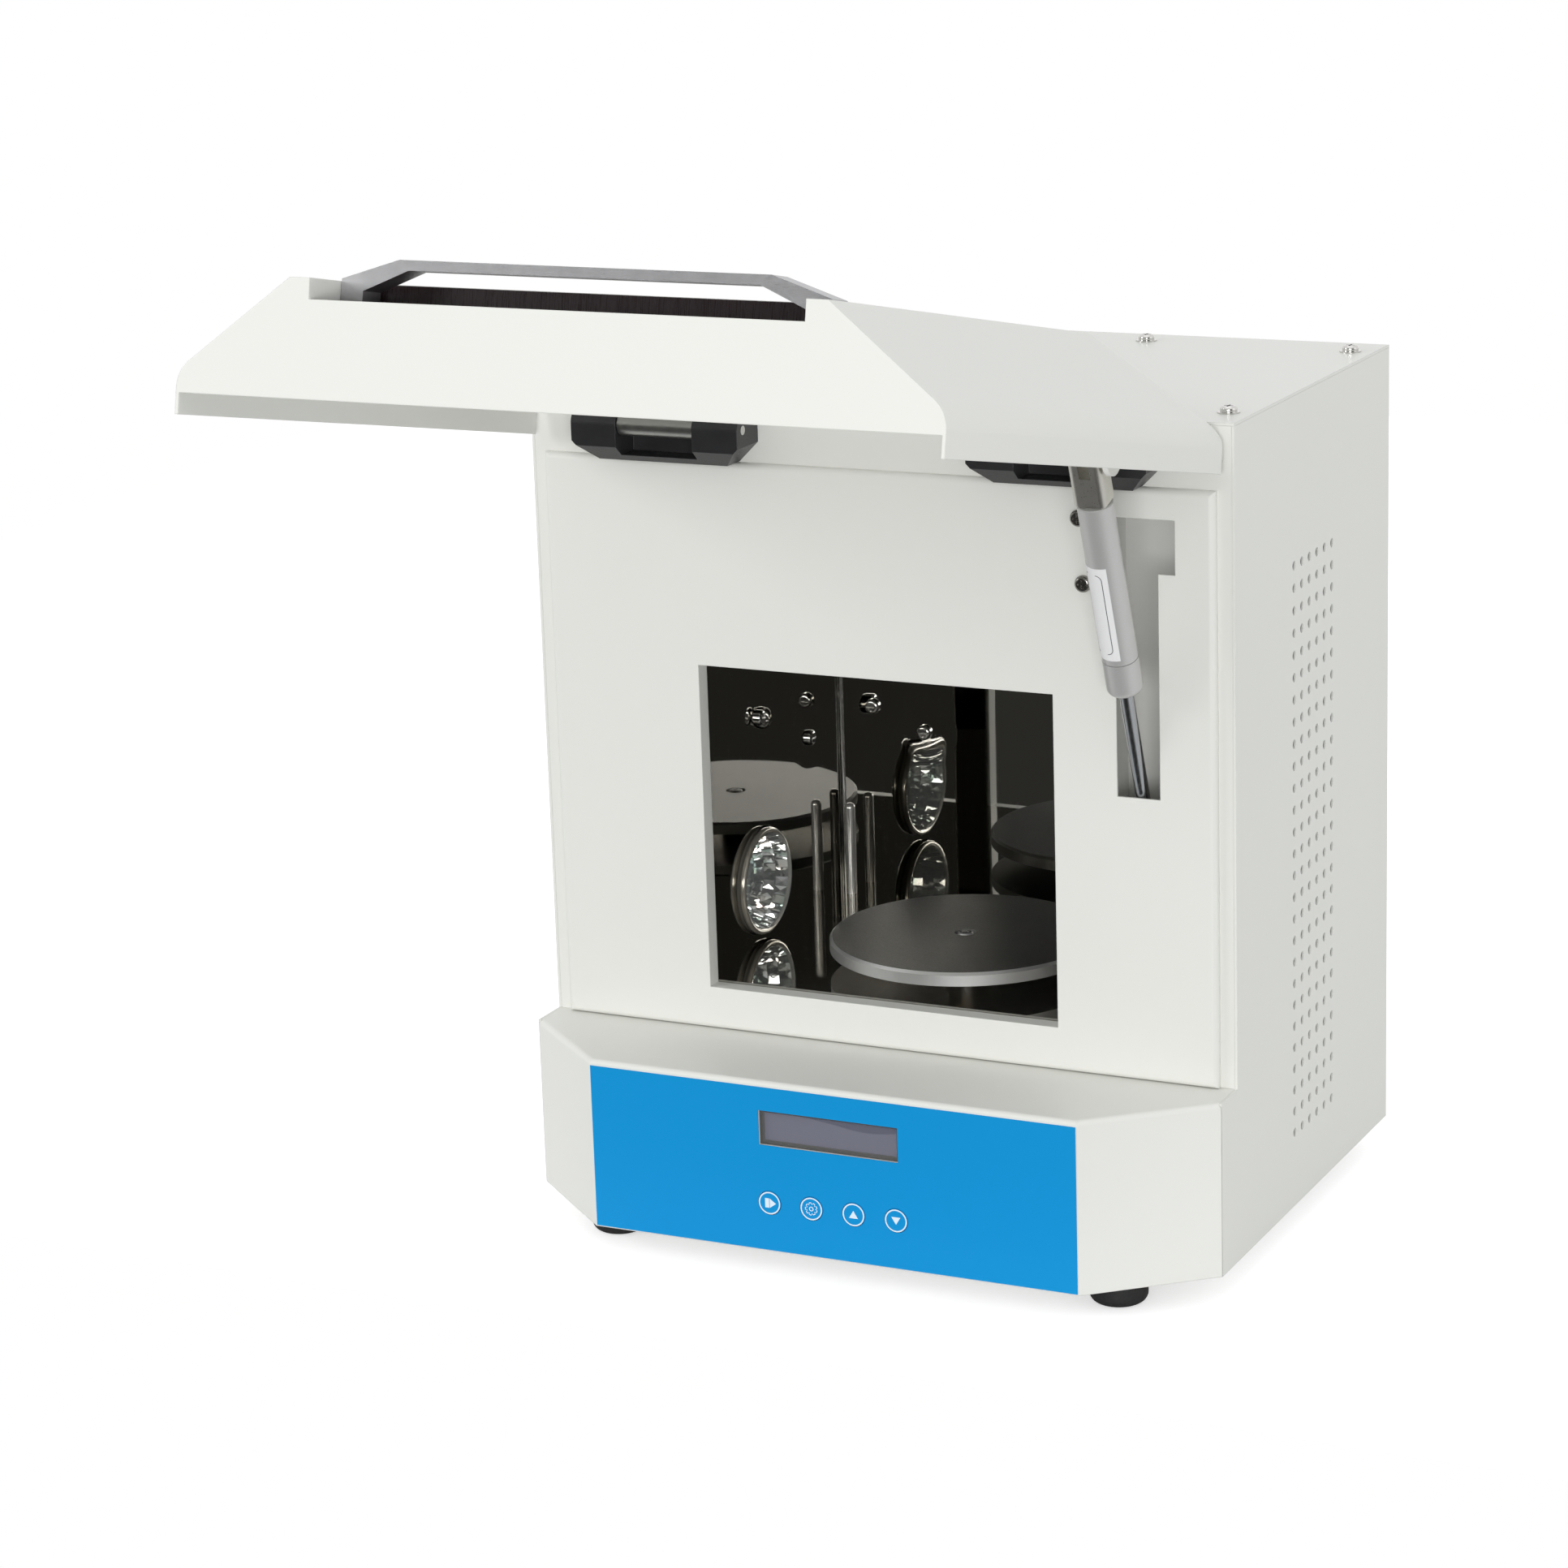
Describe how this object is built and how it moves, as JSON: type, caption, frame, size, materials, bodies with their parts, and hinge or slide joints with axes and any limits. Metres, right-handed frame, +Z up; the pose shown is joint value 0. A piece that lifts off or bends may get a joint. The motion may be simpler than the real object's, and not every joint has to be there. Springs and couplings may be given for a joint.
{
  "type": "dental lab light curing unit",
  "caption": "Benchtop light curing unit: white cabinet, lift-up hood on a gas strut, mirror-lined chamber with turntable and lamps, keys and display.",
  "frame": {"origin": "bottom centre of the bounding box of the unit with its hood up", "axes": "+X to the right as seen from the front, +Y towards the back, +Z up"},
  "size_m": [0.325, 0.482, 0.4671],
  "materials": {
    "white_coat": "fine satin powder coat",
    "blue_overlay": "printed film, satin",
    "key_blue": "satin",
    "screen": "dark grey glass",
    "lens": "clear",
    "dark_frame": "satin black",
    "mirror_sheet": "polished",
    "steel": "satin",
    "bright_steel": "bright plated",
    "aluminium": "satin anodised",
    "black_cast": "semi-gloss black",
    "dark_plate": "dark tinted",
    "black_plastic": "fine grain",
    "rubber": "matt",
    "brass": "bright",
    "reflector": "vacuum coated",
    "lamp_glass": "clear",
    "board": "solder mask",
    "paper": "printed paper"
  },
  "bodies": {
    "cabinet": {"left_side_panel": "white_coat", "right_side_panel": "white_coat", "top_cover": "white_coat", "back_panel": "white_coat", "base_plate": "white_coat", "console_shell": "white_coat", "front_frame": "white_coat", "front_panel": "white_coat", "top_cover_screws": "bright_steel", "front_panel_screws": "steel", "case_screws": "steel", "chamber_screws": "steel", "rubber_feet": "rubber", "panel_label": "blue_overlay", "chamber_rim": "mirror_sheet", "chamber_floor": "mirror_sheet", "chamber_ceiling": "mirror_sheet", "chamber_back_wall": "mirror_sheet", "chamber_side_walls": "mirror_sheet", "turntable_bush": "brass", "turntable_gearmotor": "steel", "temperature_probe": "bright_steel", "fan_frame": "black_plastic", "power_inlet": "black_plastic", "inlet_blades": "brass", "rocker_case": "black_plastic", "power_supply": "aluminium", "control_board": "board", "standoffs": "steel", "hinge_bases": "black_cast", "hinge_pins": "bright_steel", "strut_anchor_bracket": "steel", "strut_channel": "white_coat", "lcd_lens": "lens", "lcd_screen": "screen", "lcd_module": "dark_frame", "lamp_reflectors": "reflector", "lamp_glasses": "lamp_glass", "lamp_bulbs": "lamp_glass", "lamp_mounts": "steel"},
    "hood": {"door_shell": "white_coat", "door_recess_plate": "dark_plate", "door_handle": "aluminium", "hinge_leaves": "steel", "strut_door_bracket": "white_coat"},
    "strut_piston": {"strut_rod": "bright_steel", "strut_eye": "steel"},
    "strut_body": {"strut_cylinder": "aluminium", "strut_end_cap": "aluminium", "strut_label": "paper", "strut_fork": "steel", "strut_fork_pin": "steel"},
    "turntable_body": {"turntable": "steel", "turntable_shaft": "steel"},
    "fan_wheel": {"fan_rotor": "black_plastic"},
    "rocker": {"rocker_key": "black_plastic"},
    "start_button": {"start_key": "key_blue"},
    "menu_button": {"menu_key": "key_blue"},
    "up_button": {"up_key": "key_blue"},
    "down_button": {"down_key": "key_blue"}
  },
  "joints": [
    {"name": "hood_hinge", "type": "hinge", "parent": "cabinet", "child": "hood", "pos_m": [0, 0.02428, 0.3622], "axis": [1, 0, 0], "range_deg": [0, 101.8]},
    {"name": "strut_lower_pivot", "type": "hinge", "parent": "cabinet", "child": "strut_piston", "pos_m": [0.12105, 0.05503, 0.1696], "axis": [1, 0, 0], "range_deg": [-9.15, 0]},
    {"name": "strut_travel", "type": "slide", "parent": "strut_piston", "child": "strut_body", "axis": [0, -0.342, 0.9397], "range_m": [-0.0591, 0]},
    {"name": "turntable_spin", "type": "hinge", "parent": "cabinet", "child": "turntable_body", "pos_m": [0.0099, 0.10423, 0.1239], "axis": [0, 0, 1], "continuous": true},
    {"name": "fan_spin", "type": "hinge", "parent": "cabinet", "child": "fan_wheel", "pos_m": [0.06, 0.22343, 0.2376], "axis": [0, 1, 0], "continuous": true},
    {"name": "rocker_tilt", "type": "hinge", "parent": "cabinet", "child": "rocker", "pos_m": [-0.062, 0.23443, 0.0726], "axis": [1, 0, 0], "range_deg": [0, 16]},
    {"name": "start_press", "type": "slide", "parent": "cabinet", "child": "start_button", "axis": [0, 1, 0], "range_m": [0, 0.0006], "stiffness_N_per_m": 300, "springref_m": -0.0004},
    {"name": "menu_press", "type": "slide", "parent": "cabinet", "child": "menu_button", "axis": [0, 1, 0], "range_m": [0, 0.0006], "stiffness_N_per_m": 300, "springref_m": -0.0004},
    {"name": "up_press", "type": "slide", "parent": "cabinet", "child": "up_button", "axis": [0, 1, 0], "range_m": [0, 0.0006], "stiffness_N_per_m": 300, "springref_m": -0.0004},
    {"name": "down_press", "type": "slide", "parent": "cabinet", "child": "down_button", "axis": [0, 1, 0], "range_m": [0, 0.0006], "stiffness_N_per_m": 300, "springref_m": -0.0004}
  ],
  "couplings": [
    {"joint": "strut_lower_pivot", "follows": "hood_hinge", "ratio": -0.089909},
    {"joint": "strut_travel", "follows": "hood_hinge", "m_per_rad": -0.033263}
  ]
}
